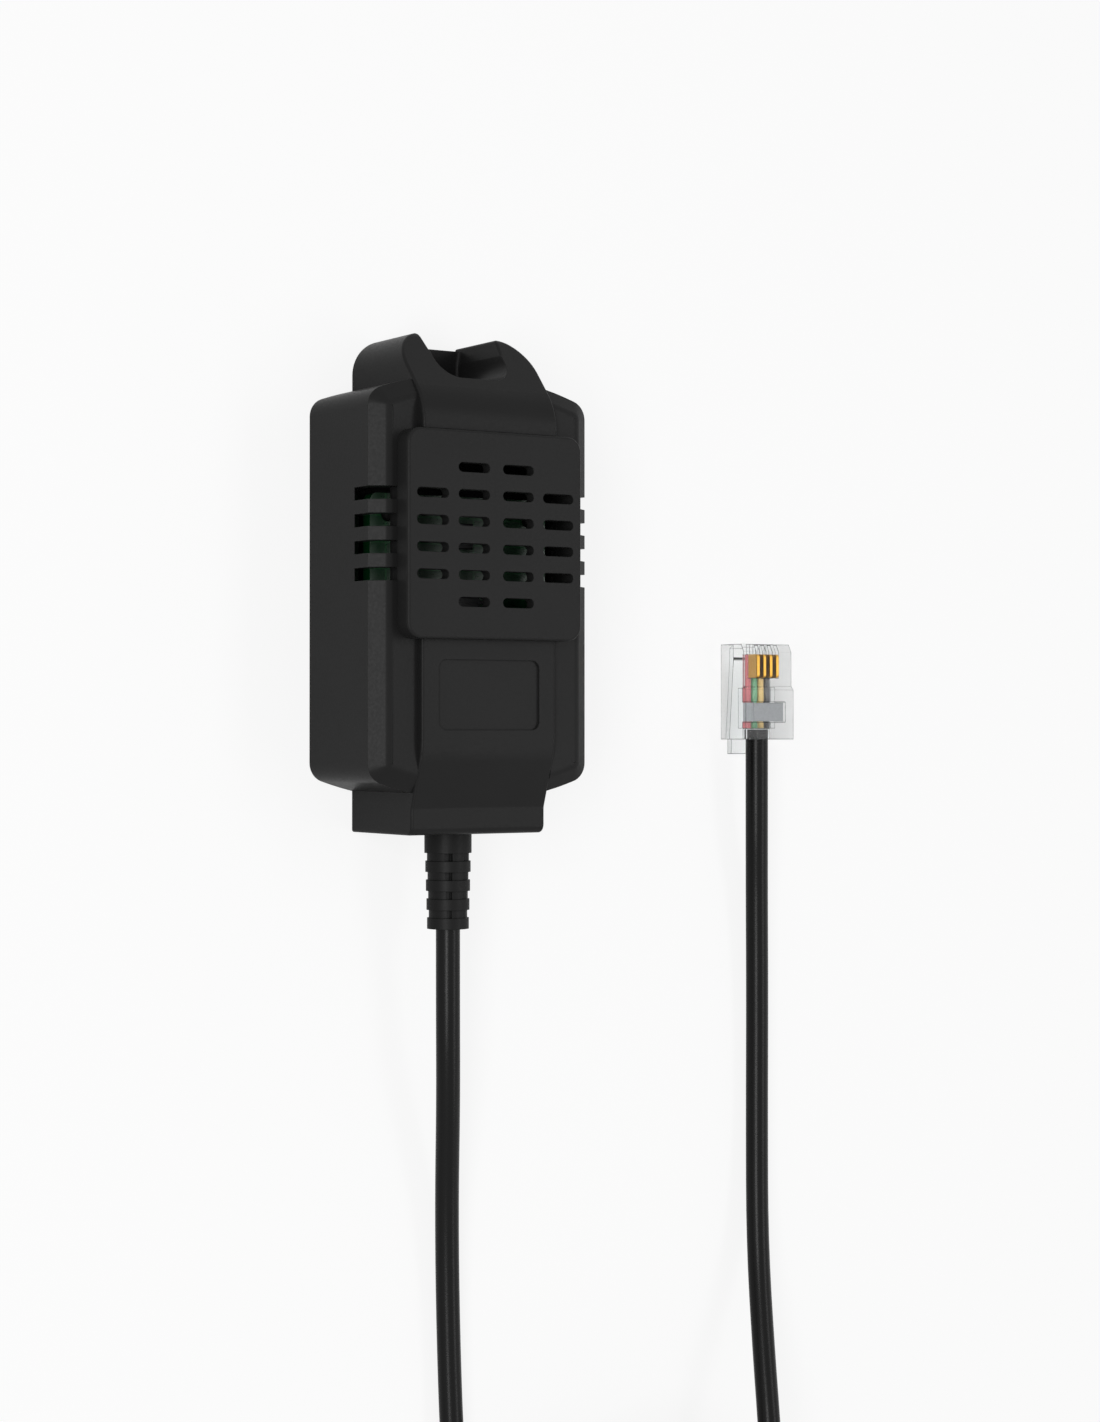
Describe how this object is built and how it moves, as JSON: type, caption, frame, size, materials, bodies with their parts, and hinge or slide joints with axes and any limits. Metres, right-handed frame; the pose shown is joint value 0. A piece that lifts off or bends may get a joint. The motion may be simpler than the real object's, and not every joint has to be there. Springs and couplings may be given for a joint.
{
  "type": "temperature and humidity sensor",
  "caption": "Plastic-cased temperature and humidity probe with a slotted grille, a hanging notch, a ribbed cable boot and a round cable that ends in a clear modular plug.",
  "frame": {"origin": "centre of the case's flat back, on the surface that it lies on", "axes": "+X across the case, +Y up the case towards its hanging notch, +Z out of the grille"},
  "size_m": [0.0666, 0.1797, 0.018],
  "materials": {
    "case_black": "fine matt moulded ABS",
    "grille_black": "fine matt moulded ABS",
    "board_green": "green solder mask over glass fibre laminate",
    "chip_body": "moulded epoxy package",
    "filter_white": "sintered porous filter",
    "ceramic_tan": "fired ceramic",
    "resistor_black": "glazed resistor film",
    "solder": "bright solder",
    "insulation_black": "PVC insulation",
    "insulation_yellow": "PVC insulation",
    "insulation_green": "PVC insulation",
    "insulation_red": "PVC insulation",
    "boot_black": "moulded flexible PVC",
    "cable_jacket": "satin PVC jacket",
    "tie_black": "hook and loop strap",
    "plug_clear": "clear polycarbonate",
    "contact_gold": "gold plated phosphor bronze",
    "bar_frosted": "frosted polycarbonate"
  },
  "bodies": {
    "root": {"front_housing": "case_black", "back_cover": "case_black", "grille_cover": "grille_black", "circuit_board": "board_green", "sensing_chip": "chip_body", "filter_cap": "filter_white", "processor": "chip_body", "capacitors": "ceramic_tan", "resistors": "resistor_black", "solder_joints": "solder", "lead_black": "insulation_black", "lead_yellow": "insulation_yellow", "lead_green": "insulation_green", "lead_red": "insulation_red", "cable_boot": "boot_black", "sensor_cable": "cable_jacket", "plug_cable": "cable_jacket", "cable_coil": "cable_jacket", "coil_ties": "tie_black", "plug_body": "plug_clear", "plug_contacts": "contact_gold", "strain_bar": "bar_frosted", "wire_red": "insulation_red", "wire_green": "insulation_green", "wire_yellow": "insulation_yellow", "wire_black": "insulation_black"}
  },
  "joints": []
}
